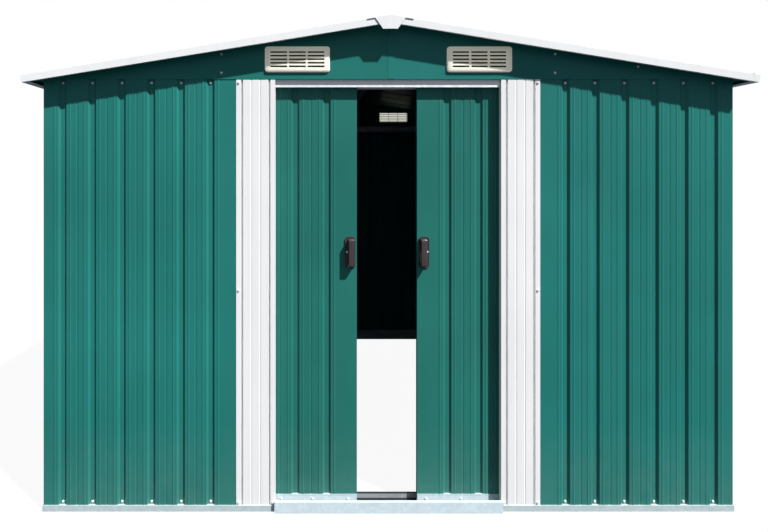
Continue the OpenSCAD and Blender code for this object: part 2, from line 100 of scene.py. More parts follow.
class ShedFinishSettings(bpy.types.PropertyGroup):
    """Colours and wear of the shed's finishes."""

    green: FloatVectorProperty(
        name="Green paint", description="Colour of the painted sheets",
        default=(0.0165, 0.178, 0.156), min=0.0, max=1.0, subtype="COLOR")
    white: FloatVectorProperty(
        name="White paint", description="Colour of the door posts",
        default=(0.83, 0.835, 0.84), min=0.0, max=1.0, subtype="COLOR")
    trim_white: FloatVectorProperty(
        name="Trim paint", description="Colour of the roof trims and the ridge cap",
        default=(0.82, 0.835, 0.84), min=0.0, max=1.0, subtype="COLOR")
    zinc: FloatVectorProperty(
        name="Galvanised steel", description="Colour of the rails, the sill and the screws",
        default=(0.70, 0.79, 0.84), min=0.0, max=1.0, subtype="COLOR")
    cream: FloatVectorProperty(
        name="Vent plastic", description="Colour of the gable vents",
        default=(0.93, 0.91, 0.82), min=0.0, max=1.0, subtype="COLOR")
    brown: FloatVectorProperty(
        name="Handle plastic", description="Colour of the door handles",
        default=(0.050, 0.036, 0.040), min=0.0, max=1.0, subtype="COLOR")
    dust: FloatProperty(
        name="Dust", description="Dust that settles on the foot of the sheets",
        default=0.08, min=0.0, max=1.0, subtype="FACTOR")
    streaks: FloatProperty(
        name="Rain streaks", description="Strength of the faint streaks down the sheets",
        default=0.9, min=0.0, max=1.0, subtype="FACTOR")


class ShedScrewSettings(bpy.types.PropertyGroup):
    """Sizes and places of the screws."""

    head_diameter: FloatProperty(
        name="Head diameter", description="Diameter of a screw's pan head",
        default=0.0080, min=0.004, max=0.012, unit="LENGTH", precision=4)
    head_height: FloatProperty(
        name="Head height", description="Height of a screw's pan head",
        default=0.0026, min=0.001, max=0.005, unit="LENGTH", precision=4)
    washer_diameter: FloatProperty(
        name="Washer diameter", description="Diameter of the sealing washer",
        default=0.0100, min=0.008, max=0.016, unit="LENGTH", precision=4)
    washer_thickness: FloatProperty(
        name="Washer thickness", description="Thickness of the sealing washer",
        default=0.0012, min=0.0005, max=0.003, unit="LENGTH", precision=4)
    groove_pitch: FloatProperty(
        name="Groove pitch", description="Distance from one wall groove to the next",
        default=0.107, min=0.09, max=0.14, unit="LENGTH")
    groove_depth: FloatProperty(
        name="Groove depth", description="Depth of a wall groove",
        default=0.007, min=0.004, max=0.01, unit="LENGTH")
    corner_margin: FloatProperty(
        name="Corner margin", description="Distance from a corner to the first groove of the front",
        default=0.0675, min=0.05, max=0.09, unit="LENGTH")
    front_grooves: IntProperty(
        name="Front grooves", description="Grooves in each front wall", default=6, min=1, max=12)
    side_grooves: IntProperty(
        name="Side grooves", description="Grooves in each side wall", default=17, min=1, max=30)
    rear_grooves: IntProperty(
        name="Rear grooves", description="Grooves in the rear wall", default=22, min=1, max=40)
    top_drop: FloatProperty(
        name="Top drop", description="Distance from the top of the walls to the top screws",
        default=0.0125, min=0.008, max=0.03, unit="LENGTH")
    foot_height: FloatProperty(
        name="Foot height", description="Height of the lowest screws above the ground",
        default=0.0315, min=0.028, max=0.05, unit="LENGTH")
    roof_pitch: FloatProperty(
        name="Roof pitch", description="Slope of the roof",
        default=math.radians(9.2), min=0.1, max=0.25, subtype="ANGLE")
    roof_rib_pitch: FloatProperty(
        name="Roof rib pitch", description="Distance from one roof rib to the next",
        default=0.2018, min=0.1, max=0.3, unit="LENGTH")
    roof_rib_top: FloatProperty(
        name="Roof rib height",
        description="Height of a rib's crest over the underside of the sheet",
        default=0.012, min=0.008, max=0.02, unit="LENGTH")
    beam_line: FloatProperty(
        name="Beam line", description="Distance down the slope to the screws over a roof beam",
        default=0.635, min=0.4, max=0.8, unit="LENGTH")


class ShedHandleSettings(bpy.types.PropertyGroup):
    """Sizes of the door handles."""

    plate_thickness: FloatProperty(
        name="Plate thickness", description="Thickness of the handle's base plate",
        default=0.004, min=0.002, max=0.006, unit="LENGTH", precision=4)
    grip_width: FloatProperty(
        name="Grip width", description="Width of the grip",
        default=0.021, min=0.015, max=0.03, unit="LENGTH", precision=4)
    grip_length: FloatProperty(
        name="Grip length", description="Height of the grip",
        default=0.102, min=0.08, max=0.12, unit="LENGTH", precision=4)
    grip_thickness: FloatProperty(
        name="Grip thickness", description="Thickness of the grip",
        default=0.009, min=0.006, max=0.012, unit="LENGTH", precision=4)
    leg_length: FloatProperty(
        name="Leg length", description="Height of each leg of the grip",
        default=0.016, min=0.01, max=0.02, unit="LENGTH", precision=4)


class ShedVentSettings(bpy.types.PropertyGroup):
    """Sizes of the gable vents."""

    corner_radius: FloatProperty(
        name="Corner radius", description="Radius of the vent's corners",
        default=0.010, min=0.004, max=0.02, unit="LENGTH", precision=4)
    rim: FloatProperty(
        name="Rim", description="Width of the step round the vent's face",
        default=0.003, min=0.001, max=0.006, unit="LENGTH", precision=4)
    slot_width: FloatProperty(
        name="Slot width", description="Width of one slot",
        default=0.061, min=0.03, max=0.07, unit="LENGTH", precision=4)
    slot_height: FloatProperty(
        name="Slot height", description="Height of one slot",
        default=0.0075, min=0.003, max=0.010, unit="LENGTH", precision=4)
    slot_pitch: FloatProperty(
        name="Slot pitch", description="Distance from one row of slots to the next",
        default=0.013, min=0.009, max=0.02, unit="LENGTH", precision=4)
    slot_gap: FloatProperty(
        name="Slot gap", description="Width of the bars between the slots",
        default=0.006, min=0.002, max=0.012, unit="LENGTH", precision=4)
    rows: IntProperty(name="Rows", description="Rows of slots", default=5, min=2, max=8)
    columns: IntProperty(name="Columns", description="Columns of slots", default=3, min=1, max=4)
    blade_angle: FloatProperty(
        name="Blade angle", description="Slope of the blades behind the slots",
        default=math.radians(38), min=0.0, max=1.2, subtype="ANGLE")


class ShedStageSettings(bpy.types.PropertyGroup):
    """Camera, light and floor."""

    camera_place: FloatVectorProperty(
        name="Camera place", description="Where the camera stands",
        default=(-0.276, -2.822, 1.224), subtype="TRANSLATION", unit="LENGTH")
    lens: FloatProperty(
        name="Lens", description="Focal length in millimetres", default=24.0, min=10.0, max=120.0)
    shift: FloatVectorProperty(
        name="Lens shift", description="Sideways and upward shift of the lens",
        size=2, default=(0.094, -0.122))
    sun_way: FloatVectorProperty(
        name="Sun direction", description="Way the sunlight travels",
        default=(-1.2, 1.0, -1.97), subtype="DIRECTION")
    sun_strength: FloatProperty(
        name="Sun strength", description="Strength of the key light", default=6.75, min=0.0)
    sky_strength: FloatProperty(
        name="Sky strength", description="Strength of the soft light from all round",
        default=0.31, min=0.0)
    floor_size: FloatProperty(
        name="Floor size", description="Width of the floor", default=120.0, min=5.0, unit="LENGTH")


# ---------- Selecting and modelling ----------


def deselect_all():
    """Leaves nothing selected, in object mode."""
    if bpy.context.object is not None and bpy.context.object.mode != "OBJECT":
        bpy.ops.object.mode_set(mode="OBJECT")
    bpy.ops.object.select_all(action="DESELECT")


def activate(piece):
    """Makes the piece the only selected object and the active one."""
    deselect_all()
    piece.select_set(True)
    bpy.context.view_layer.objects.active = piece


def edit(piece):
    """Opens the piece in edit mode with nothing selected."""
    activate(piece)
    bpy.ops.object.mode_set(mode="EDIT")
    bpy.ops.mesh.select_all(action="DESELECT")


def done():
    """Closes edit mode."""
    bpy.ops.object.mode_set(mode="OBJECT")


def near(first, second):
    """Whether two coordinates are the same but for rounding."""
    return abs(first - second) < 1e-5


def pick(piece, mode, passes):
    """Selects the faces or the edges of an open piece that pass a test, or fails if none does."""
    bpy.ops.mesh.select_mode(type=mode)
    bpy.ops.mesh.select_all(action="DESELECT")
    mesh = bmesh.from_edit_mesh(piece.data)
    found = [part for part in (mesh.faces if mode == "FACE" else mesh.edges) if passes(part)]
    if not found:
        raise RuntimeError(f"{piece.name}: no {mode.lower()} passed the test")
    for part in found:
        part.select_set(True)
    bmesh.update_edit_mesh(piece.data)


def pick_faces(piece, chosen):
    """Selects the faces whose centre and normal pass the test."""
    pick(piece, "FACE", lambda face: chosen(face.calc_center_median(), face.normal))


def pick_edges(piece, chosen):
    """Selects the edges whose two ends pass the test."""
    pick(piece, "EDGE", lambda edge: chosen(edge.verts[0].co, edge.verts[1].co))


def settle(piece):
    """Puts the piece's origin at the world's origin, with its place in its mesh."""
    activate(piece)
    bpy.ops.object.transform_apply(location=True, rotation=True, scale=True)


def add_block(name, low, high):
    """A block from its lowest to its highest corner, ready to be shaped."""
    deselect_all()
    low, high = Vector(low), Vector(high)
    bpy.ops.mesh.primitive_cube_add(size=1, location=(low + high) / 2, scale=high - low)
    block = bpy.context.object
    block.name = name
    settle(block)
    return block


def apply_modifier(piece, kind, **values):
    """Adds a modifier with these values and applies it."""
    activate(piece)
    modifier = piece.modifiers.new(kind.lower(), kind)
    for key, value in values.items():
        setattr(modifier, key, value)
    bpy.ops.object.modifier_apply(modifier=modifier.name)


def carve(piece, cutter):
    """Cuts the cutter's shape out of the piece and removes the cutter."""
    apply_modifier(piece, "BOOLEAN", operation="DIFFERENCE", object=cutter, solver="EXACT")
    bpy.data.objects.remove(cutter)


def soften(piece, width, segments, angle):
    """Rounds the edges sharper than the angle in degrees, and shades the piece smooth."""
    apply_modifier(piece, "BEVEL", width=width, segments=segments, limit_method="ANGLE",
                   angle_limit=math.radians(angle))
    activate(piece)
    bpy.ops.object.shade_smooth_by_angle(angle=math.radians(35))


def join(name, pieces):
    """Joins the pieces into one."""
    deselect_all()
    for piece in pieces:
        piece.select_set(True)
    bpy.context.view_layer.objects.active = pieces[0]
    if len(pieces) > 1:
        bpy.ops.object.join()
    joined = bpy.context.object
    joined.name = name
    joined.data.name = name
    return joined


def fit(piece, material, body):
    """Gives the piece its material, its body and its slot."""
    piece.data.materials.clear()
    piece.data.materials.append(material)
    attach(piece, body)


def copies_at(name, source, places):
    """One piece made of a copy of the source at each place."""
    copies = []
    for place in places:
        copy = source.copy()
        copy.data = source.data.copy()
        bpy.context.collection.objects.link(copy)
        copy.matrix_world = place
        copies.append(copy)
    piece = join(name, copies)
    settle(piece)
    return piece


# ---------- Materials ----------


class Finish:
    """A material's node tree, with the few nodes that these finishes share."""

    def __init__(self, name, **values):
        self.material = bpy.data.materials.new(name)
        self.material.use_nodes = True
        self.nodes = self.material.node_tree.nodes
        self.links = self.material.node_tree.links
        self.shader = self.nodes["Principled BSDF"]
        for key, value in values.items():
            self.shader.inputs[key.replace("_", " ")].default_value = value
        self.place = self.nodes.new("ShaderNodeTexCoord").outputs["Object"]

    def mapped(self, scale):
        """Object coordinates stretched by a scale along each axis."""
        mapping = self.nodes.new("ShaderNodeMapping")
        mapping.inputs["Scale"].default_value = scale
        self.links.new(self.place, mapping.inputs["Vector"])
        return mapping.outputs["Vector"]

    def noise(self, scale, detail, roughness, stretch=(1, 1, 1)):
        """A noise pattern of that many features a metre."""
        noise = self.nodes.new("ShaderNodeTexNoise")
        noise.inputs["Scale"].default_value = scale
        noise.inputs["Detail"].default_value = detail
        noise.inputs["Roughness"].default_value = roughness
        self.links.new(self.mapped(stretch), noise.inputs["Vector"])
        return noise.outputs["Fac"]

    def cells(self, scale):
        """Random values in cells, for a metal's spangle."""
        cells = self.nodes.new("ShaderNodeTexVoronoi")
        cells.inputs["Scale"].default_value = scale
        self.links.new(self.mapped((1, 1, 1)), cells.inputs["Vector"])
        split = self.nodes.new("ShaderNodeSeparateColor")
        self.links.new(cells.outputs["Color"], split.inputs["Color"])
        return split.outputs["Red"]

    def height(self, low, high):
        """1 at the low height and 0 at the high one."""
        split = self.nodes.new("ShaderNodeSeparateXYZ")
        self.links.new(self.place, split.inputs["Vector"])
        return self.ranged(split.outputs["Z"], 1.0, 0.0, low, high)

    def ranged(self, value, low, high, from_low=0.3, from_high=0.7):
        """The value, spread from one range to another."""
        spread = self.nodes.new("ShaderNodeMapRange")
        for key, number in zip(("From Min", "From Max", "To Min", "To Max"),
                               (from_low, from_high, low, high)):
            spread.inputs[key].default_value = number
        self.links.new(value, spread.inputs["Value"])
        return spread.outputs["Result"]

    def times(self, first, second):
        """The product of two values."""
        product = self.nodes.new("ShaderNodeMath")
        product.operation = "MULTIPLY"
        for socket, value in zip(product.inputs, (first, second)):
            if isinstance(value, (int, float)):
                socket.default_value = value
            else:
                self.links.new(value, socket)
        return product.outputs["Value"]

    def blend(self, amount, first, second):
        """The first colour turned towards the second by the amount."""
        mix = self.nodes.new("ShaderNodeMix")
        mix.data_type = "RGBA"
        for socket, value in ((mix.inputs["Factor"], amount), (mix.inputs["A"], first),
                              (mix.inputs["B"], second)):
            socket = next(s for s in mix.inputs if s.name == socket.name and s.enabled
                          and s.type == ("VALUE" if socket.name == "Factor" else "RGBA"))
            if hasattr(value, "is_linked"):
                self.links.new(value, socket)
            elif isinstance(value, (int, float)):
                socket.default_value = value
            else:
                socket.default_value = (*value, 1.0)
        return next(s for s in mix.outputs if s.type == "RGBA")

    def colour(self, value):
        """Sets the base colour."""
        self.links.new(value, self.shader.inputs["Base Color"])

    def roughness(self, value, low, high):
        """Spreads the value over a range of roughness."""
        self.links.new(self.ranged(value, low, high), self.shader.inputs["Roughness"])

    def bump(self, *layers):
        """Bumps from (pattern, height in metres) layers, the coarsest first."""
        normal = None
        for pattern, height in layers:
            bump = self.nodes.new("ShaderNodeBump")
            bump.inputs["Strength"].default_value = 1.0
            bump.inputs["Distance"].default_value = height
            self.links.new(pattern, bump.inputs["Height"])
            if normal is not None:
                self.links.new(normal, bump.inputs["Normal"])
            normal = bump.outputs["Normal"]
        self.links.new(normal, self.shader.inputs["Normal"])


def painted_steel(name, colour, settings, roughness=(0.30, 0.46), patchiness=0.10,
                  streak_scale=STREAKS_UPRIGHT):
    """Satin paint on rolled sheet: orange peel, faint rain streaks, dust at the foot."""
    finish = Finish(name, Specular_IOR_Level=0.2)
    streaks = finish.noise(1.0, 5.0, 0.6, streak_scale)
    clouds = finish.noise(2.2, 3.0, 0.5)
    specks = finish.noise(260, 2.0, 0.5)
    darker = tuple(c * (1 - patchiness) for c in colour)
    lighter = tuple(min(1.0, c * (1 + patchiness)) for c in colour)
    base = finish.blend(finish.ranged(clouds, 0.0, 1.0), darker, lighter)
    streaked = tuple(min(1.0, c * 0.88 + 0.012) for c in colour)
    base = finish.blend(finish.times(finish.ranged(streaks, 0.0, 0.55, 0.5, 0.75),
                                     settings.streaks), base, streaked)
    dust = finish.times(finish.ranged(finish.noise(14, 6.0, 0.65), 0.25, 1.0),
                        finish.height(0.03, 0.32))
    base = finish.blend(finish.times(dust, settings.dust), base, DUST_COLOUR)
    chips = finish.ranged(specks, 0.0, 0.25, 0.72, 0.80)
    base = finish.blend(chips, base, tuple(c * 0.6 + 0.05 for c in colour))
    finish.colour(base)
    finish.roughness(finish.noise(9, 6.0, 0.65, (1, 1, 0.35)), *roughness)
    finish.bump((finish.noise(1.0, 2.0, 0.4, (9, 9, 2.2)), 0.0009),
                (finish.noise(5.5, 2.0, 0.5, (1, 1, 0.6)), 0.0005),
                (finish.noise(520, 2.0, 0.5), 0.00001))
    return finish.material


def galvanised_steel(name, colour, rough=(0.36, 0.54), metallic=0.25, spangle=90):
    """Zinc-coated steel with its soft spangle and a little white bloom."""
    finish = Finish(name, Metallic=metallic, Specular_IOR_Level=0.5)
    crystals = finish.cells(spangle)
    bloom = finish.noise(7, 6.0, 0.65)
    base = finish.blend(crystals, tuple(c * 0.95 for c in colour),
                        tuple(min(1.0, c * 1.04) for c in colour))
    base = finish.blend(finish.ranged(bloom, 0.0, 0.30, 0.45, 0.75), base, BLOOM_COLOUR)
    finish.colour(base)
    finish.roughness(finish.blend(0.5, finish.noise(60, 4.0, 0.6), crystals), *rough)
    finish.bump((finish.noise(16, 3.0, 0.5), 0.0003), (finish.noise(700, 2.0, 0.5), 0.00001))
    return finish.material


def moulded_plastic(name, colour, rough, tint, grain=900, glow=0.0):
    """Moulded plastic with a fine grain and slightly uneven gloss. Glow gives it some real
    subsurface translucency and a painted glow: emission that lightens it where it lies in shade.
    """
    # Emission here is painted light: the plastic glows a little though it is no lamp.
    finish = Finish(name, Specular_IOR_Level=0.5, Subsurface_Weight=glow * 2,
                    Subsurface_Radius=(1.0, 0.95, 0.80), Subsurface_Scale=0.02,
                    Emission_Color=(1.0, 0.98, 0.72, 1.0), Emission_Strength=glow)
    base = finish.blend(finish.ranged(finish.noise(18, 5.0, 0.6), 0.0, 1.0), colour, tint)
    base = finish.blend(finish.ranged(finish.noise(150, 3.0, 0.6), 0.0, 0.35, 0.55, 0.85), base,
                        tuple(c * 0.7 for c in colour))
    finish.colour(base)
    finish.roughness(finish.noise(45, 5.0, 0.65), *rough)
    finish.bump((finish.noise(60, 3.0, 0.5), 0.00012), (finish.noise(grain, 2.0, 0.5), 0.00002))
    return finish.material


def tinted(colour, *factors):
    """The colour with its red, green and blue each multiplied by a factor."""
    return tuple(min(1.0, c * factor) for c, factor in zip(colour, factors))


materials = {}


class SHED_OT_finishes(bpy.types.Operator):
    """Make the finishes and put them on the steelwork and the doors"""

    bl_idname = "shed.finishes"
    bl_label = "Finishes"

    def execute(self, context):
        settings = context.scene.shed_finish
        green, white = tuple(settings.green), tuple(settings.white)
        zinc, cream, brown = tuple(settings.zinc), tuple(settings.cream), tuple(settings.brown)
        for name, colour, streaks in (
                ("green_paint", green, STREAKS_UPRIGHT),
                ("door_paint", tinted(green, 1.1, 0.91, 0.87), STREAKS_UPRIGHT),
                ("gable_paint", tinted(green, 0.80, 0.97, 0.95), STREAKS_SIDEWAYS),
                ("gable_paint_right", tinted(green, 0.95, 1.03, 1.05), STREAKS_SIDEWAYS)):
            materials[name] = painted_steel(name, colour, settings, streak_scale=streaks)
        for name, colour in (("white_paint", white), ("trim_paint", tuple(settings.trim_white))):
            materials[name] = painted_steel(name, colour, settings, (0.34, 0.52), 0.03)
        for name, colour in (("galvanised_steel", zinc),
                             # The sill's zinc is made bluer and lighter: a painted reflection of
                             # the sky on it.
                             ("sill_steel_painted_reflection", tinted(zinc, 1.09, 1.16, 1.18)),
                             # The header's zinc is lightened: painted light that brightens the
                             # header where it stands in shade.
                             ("header_steel_painted_light", tinted(zinc, 1.38, 1.24, 1.17)),
                             ("rail_steel", tinted(zinc, 0.84, 0.90, 0.87)),
                             ("track_steel", tinted(zinc, 0.5, 0.5, 0.5))):
            materials[name] = galvanised_steel(name, colour)
        materials["screw_steel"] = galvanised_steel(
            "screw_steel", (0.92, 0.93, 0.93), (0.24, 0.40), 0.1, 400)
        # The vents' glow is painted light: weak emission keeps their shaded part pale, beside some
        # real translucency.
        materials["vent_plastic"] = moulded_plastic(
            "vent_plastic", cream, (0.38, 0.52), (0.93, 0.90, 0.78), glow=0.13)
        materials["handle_plastic"] = moulded_plastic(
            "handle_plastic", brown, (0.26, 0.40), tinted(brown, 1.3, 1.3, 1.3))
        materials["glide_plastic"] = moulded_plastic(
            "glide_plastic", (0.03, 0.03, 0.032), (0.42, 0.6), (0.045, 0.045, 0.048))
        materials["washer_rubber"] = moulded_plastic(
            "washer_rubber", (0.45, 0.47, 0.47), (0.55, 0.75), (0.52, 0.54, 0.54))
        finish_of = {
            "green_paint": ("front_wall", "side_wall", "rear_wall", "roof_panel"),
            "door_paint": ("door_leaf",),
            "gable_paint": ("front_gable_left", "rear_gable_left"),
            "gable_paint_right": ("front_gable_right", "rear_gable_right"),
            "white_paint": ("door_post",),
            "trim_paint": ("roof_trim", "eave_trim", "ridge_cap"),
            "galvanised_steel": ("top_rail", "roof_beam", "ridge_beam", "door_rails"),
            "header_steel_painted_light": ("door_header",),
            "rail_steel": ("base_rail",),
            "sill_steel_painted_reflection": ("door_sill",),
            "track_steel": ("door_track",),
            "vent_plastic": ("vent",),
            "handle_plastic": ("door_handle",),
            "glide_plastic": ("door_glides",),
        }
        for name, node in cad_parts.items():
            found = [slot for slot, starts in finish_of.items() if name.startswith(starts)]
            if len(found) != 1:
                raise RuntimeError(f"{name} has {len(found)} finishes")
            if not node.material_slots:
                node.data.materials.append(None)
            for slot in node.material_slots:
                slot.material = materials[found[0]]
        return {"FINISHED"}


# ---------- Screws ----------


def facing(point, way, turn=0.0):
    """A place at the point, with its up direction along the way and a turn about it."""
    tilt = Vector(way).to_track_quat("Z", "Y").to_matrix().to_4x4()
    return Matrix.Translation(point) @ tilt @ Matrix.Rotation(turn, 4, "Z")


def model_screw(settings):
    """A pan head and its sealing washer at the origin, facing up."""
    washer_r, washer_t = settings.washer_diameter / 2, settings.washer_thickness
    head_r, head_h = settings.head_diameter / 2, settings.head_height

    deselect_all()
    bpy.ops.mesh.primitive_cylinder_add(
        vertices=16, radius=washer_r, depth=washer_t, location=(0, 0, washer_t / 2))
    washer = bpy.context.object
    settle(washer)
    edit(washer)
    pick_faces(washer, lambda centre, normal: normal.z > 0.9)
    bpy.ops.mesh.bevel(offset=washer_t * 0.45, segments=1, affect="EDGES")
    done()

    deselect_all()
    bpy.ops.mesh.primitive_cylinder_add(
        vertices=14, radius=head_r, depth=head_h, location=(0, 0, washer_t + head_h / 2))
    head = bpy.context.object
    settle(head)
    edit(head)
    pick_faces(head, lambda centre, normal: normal.z > 0.9)
    bpy.ops.mesh.bevel(offset=head_h * 0.6, segments=2, affect="EDGES")
    done()

    # The cross recess: a small block with an arm pulled out of each side.
    arm, width = head_r * 0.5, head_r * 0.26
    top = washer_t + head_h
    cross = add_block("cross", (-width / 2, -width / 2, top - head_h * 0.55),
                      (width / 2, width / 2, top + head_h * 0.3))
    edit(cross)
    pick_faces(cross, lambda centre, normal: abs(normal.z) < 0.1)
    bpy.ops.mesh.extrude_faces_move(
        TRANSFORM_OT_shrink_fatten={"value": arm - width / 2})
    done()
    carve(head, cross)
    for piece in (washer, head):
        activate(piece)
        bpy.ops.object.shade_smooth_by_angle(angle=math.radians(40))
    return head, washer


def fit_screws(name, body, places, settings, washer_finish="washer_rubber"):
    """One piece of heads and one of washers, at (point, way) places."""
    head, washer = model_screw(settings)
    turned = [facing(point, way, i * 2.4) for i, (point, way) in enumerate(places)]
    heads = copies_at(f"{name}_screws", head, turned)
    washers = copies_at(f"{name}_washers", washer, turned)
    fit(heads, materials["screw_steel"], body)
    fit(washers, materials[washer_finish], body)
    for source in (head, washer):
        bpy.data.objects.remove(source)


def screw_heights(settings):
    """Heights of the screws at the foot and at the top of a wall."""
    return settings.foot_height, WALL_TOP - settings.top_drop


def on_roof(side, down, along, up, settings):
    """A place on the roof: down its slope, along its ridge and up from the sheet's underside."""
    pitch = settings.roof_pitch
    ridge_z = panel_high.z + math.tan(pitch) * panel_low.x - (
        settings.roof_rib_top * math.cos(pitch))
    return (Vector((side * (down * math.cos(pitch) + up * math.sin(pitch)), along,
                    ridge_z - down * math.sin(pitch) + up * math.cos(pitch))),
            Vector((side * math.sin(pitch), 0, math.cos(pitch))))


class SHED_OT_wall_screws(bpy.types.Operator):
    """Screw the wall sheets to their rails, in every groove"""

    bl_idname = "shed.wall_screws"
    bl_label = "Wall Screws"

    def execute(self, context):
        settings = context.scene.shed_screws
        pitch, depth = settings.groove_pitch, settings.groove_depth
        heights = screw_heights(settings)
        for word, side in SIDES.items():
            xs = [side * (WALL_FACE_X - settings.corner_margin - i * pitch)
                  for i in range(settings.front_grooves)]
            fit_screws(f"front_wall_{word}", "root",
                       [(Vector((x, -WALL_FACE_Y + depth, z)), (0, -1, 0))
                        for x in xs for z in heights], settings)
            ys = [(i - (settings.side_grooves - 1) / 2) * pitch
                  for i in range(settings.side_grooves)]
            fit_screws(f"side_wall_{word}", "root",
                       [(Vector((side * (WALL_FACE_X - depth), y, z)), (side, 0, 0))
                        for y in ys for z in heights], settings)
        xs = [(i - (settings.rear_grooves - 1) / 2) * pitch
              for i in range(settings.rear_grooves)]
        fit_screws("rear_wall", "root",
                   [(Vector((x, WALL_FACE_Y - depth, z)), (0, 1, 0))
                    for x in xs for z in heights], settings)
        return {"FINISHED"}


class SHED_OT_front_screws(bpy.types.Operator):
    """Screw the door posts and the gable sheets"""

    bl_idname = "shed.front_screws"
    bl_label = "Post and Gable Screws"

    def execute(self, context):
        settings = context.scene.shed_screws
        foot, top = screw_heights(settings)
        edge_margin, halfway = 0.0085, 0.798
        inner, outer = post_low.x + edge_margin, post_high.x - edge_margin
        posts = [(Vector((side * x, post_low.y, z)), (0, -1, 0))
                 for side in SIDES.values()
                 for x, z in ((outer, foot), (outer, halfway), (outer, top), (inner, foot))]
        fit_screws("door_post", "root", posts, settings, "white_paint")

        # Each gable has a pair of screws on both sides, and a lone one further out on one side.
        pair_x, pair_heights = 0.602, (1.583, 1.651)
        lone_x, lone_height = 0.901, 1.606
        gables = []
        for end in (-1, 1):
            y = end * GABLE_FACE
            for side in SIDES.values():
                gables += [(Vector((side * pair_x, y, z)), (0, end, 0)) for z in pair_heights]
            gables.append((Vector((-end * lone_x, y, lone_height)), (0, end, 0)))
        fit_screws("gable", "root", gables, settings)
        return {"FINISHED"}


class SHED_OT_roof_screws(bpy.types.Operator):
    """Screw the roof sheets, the ridge cap and the trims down on the ribs"""

    bl_idname = "shed.roof_screws"
    bl_label = "Roof Screws"

    def execute(self, context):
        settings = context.scene.shed_screws
        crest, trim = settings.roof_rib_top, settings.roof_rib_top + SHEET + PLAY
        last_rib = 5  # The ribs are counted from the middle one, and a trim covers the last
        trim_line, trim_screws = abs(trim_low.y) - 0.017, (0.34, 0.95)
        eave_line = cad_high.x / math.cos(settings.roof_pitch) - 0.016
        cap_line = 0.066
        for word, side in SIDES.items():
            places = []
            for i in range(-last_rib, last_rib + 1):
                outer = abs(i) == last_rib
                y = math.copysign(trim_line, i) if outer else i * settings.roof_rib_pitch
                places.append(on_roof(side, settings.beam_line, y, trim if outer else crest,
                                      settings))
                places.append(on_roof(side, eave_line, y, trim, settings))
                if outer:
                    places += [on_roof(side, down, y, trim, settings) for down in trim_screws]
            fit_screws(f"roof_{word}", "root", places, settings)
        cap = [on_roof(side, cap_line, i * settings.roof_rib_pitch, trim + SHEET + PLAY, settings)
               for side in SIDES.values() for i in range(1 - last_rib, last_rib)]
        fit_screws("ridge_cap", "root", cap, settings)
        return {"FINISHED"}


class SHED_OT_door_screws(bpy.types.Operator):
    """Screw the doors' lower rails to their sheets"""

    bl_idname = "shed.door_screws"
    bl_label = "Door Screws"

    def execute(self, context):
        settings = context.scene.shed_screws
        rail_lip, height = 0.0012, 0.0265  # The rail's upper edge stands out from its face
        face_y = rails_low.y + rail_lip
        for word, side in SIDES.items():
            places = [(Vector((side * x, face_y, height)), (0, -1, 0))
                      for x in (0.143, 0.272, 0.387, 0.532)]
            fit_screws(f"door_{word}", f"door_{word}", places, settings)
        return {"FINISHED"}


# ---------- Track, handles and vents ----------


class SHED_OT_track_shade_strips(bpy.types.Operator):
    """Lay two dark strips along the door track's rear wall: painted shade at its foot and under its
    top edge
    """

    bl_idname = "shed.track_rubber"
    bl_label = "Track Painted Shade"

    def execute(self, context):
        half, back, top = header_high.x - 0.002, track_high.y, track_high.z
        # Both strips are painted shade: dark plastic put where the track falls in shade.
        for name, low, high in (
                ("track_foot_painted_shade",
                 (-half, back - 0.0022, 0.0014), (half, back - 0.0012, 0.0115)),
                ("track_edge_painted_shade",
                 (-half, back - 0.0024, top - 0.0030), (half, back + 0.0010, top + 0.0012))):
            strip = add_block(name, low, high)
            soften(strip, 0.0003, 2, 30)
            fit(strip, materials["glide_plastic"], "root")
        return {"FINISHED"}


def model_plate(name, x, face_y, middle, half_w, half_h):
    """A handle's base plate, with rounded corners and a dished face."""
    plate = add_block(name, (x - half_w, face_y, middle.z - half_h),
                      (x + half_w, handle_high.y, middle.z + half_h))
    edit(plate)
    pick_edges(plate, lambda a, b: abs(a.y - b.y) > 0.001)
    bpy.ops.mesh.bevel(offset=0.011, segments=5, affect="EDGES")
    pick_faces(plate, lambda centre, normal: normal.y < -0.9)
    bpy.ops.mesh.inset(thickness=0.0016)
    bpy.ops.mesh.inset(thickness=0.0012, depth=-DISH_DEPTH)
    done()
    soften(plate, 0.0007, 2, 25)
    return plate


def model_grip(x, face_y, middle, settings):
    """A handle's grip: a bar with a leg pulled back to the plate at each end."""
    half_w, half_h = settings.grip_width / 2, settings.grip_length / 2
    front, leg_start = handle_low.y, half_h - settings.leg_length
    sunk = 0.0005  # How far the legs reach into the plate
    grip = add_block("grip", (x - half_w, front, middle.z - half_h),
                     (x + half_w, front + settings.grip_thickness, middle.z + half_h))
    edit(grip)
    for end in (-1, 1):
        bpy.ops.mesh.select_all(action="SELECT")
        bpy.ops.mesh.bisect(plane_co=(0, 0, middle.z + end * leg_start), plane_no=(0, 0, 1))
    pick_faces(grip, lambda centre, normal: normal.y > 0.9
               and abs(centre.z - middle.z) > leg_start)
    bpy.ops.mesh.extrude_region_move(TRANSFORM_OT_translate={
        "value": (0, face_y - front - settings.grip_thickness + sunk, 0)})

    # The front's two end edges are rounded first, and then its long edges.
    pick_edges(grip, lambda a, b: near(a.z, b.z) and near(a.y, b.y) and near(a.y, front)
               and near(abs(a.z - middle.z), half_h))
    bpy.ops.mesh.bevel(offset=0.0065, segments=4, affect="EDGES")
    pick_edges(grip, lambda a, b: near(a.y, b.y) and near(a.x, b.x) and near(a.y, front))
    bpy.ops.mesh.bevel(offset=0.0022, segments=3, affect="EDGES")
    done()
    soften(grip, 0.0009, 2, 40)
    return grip


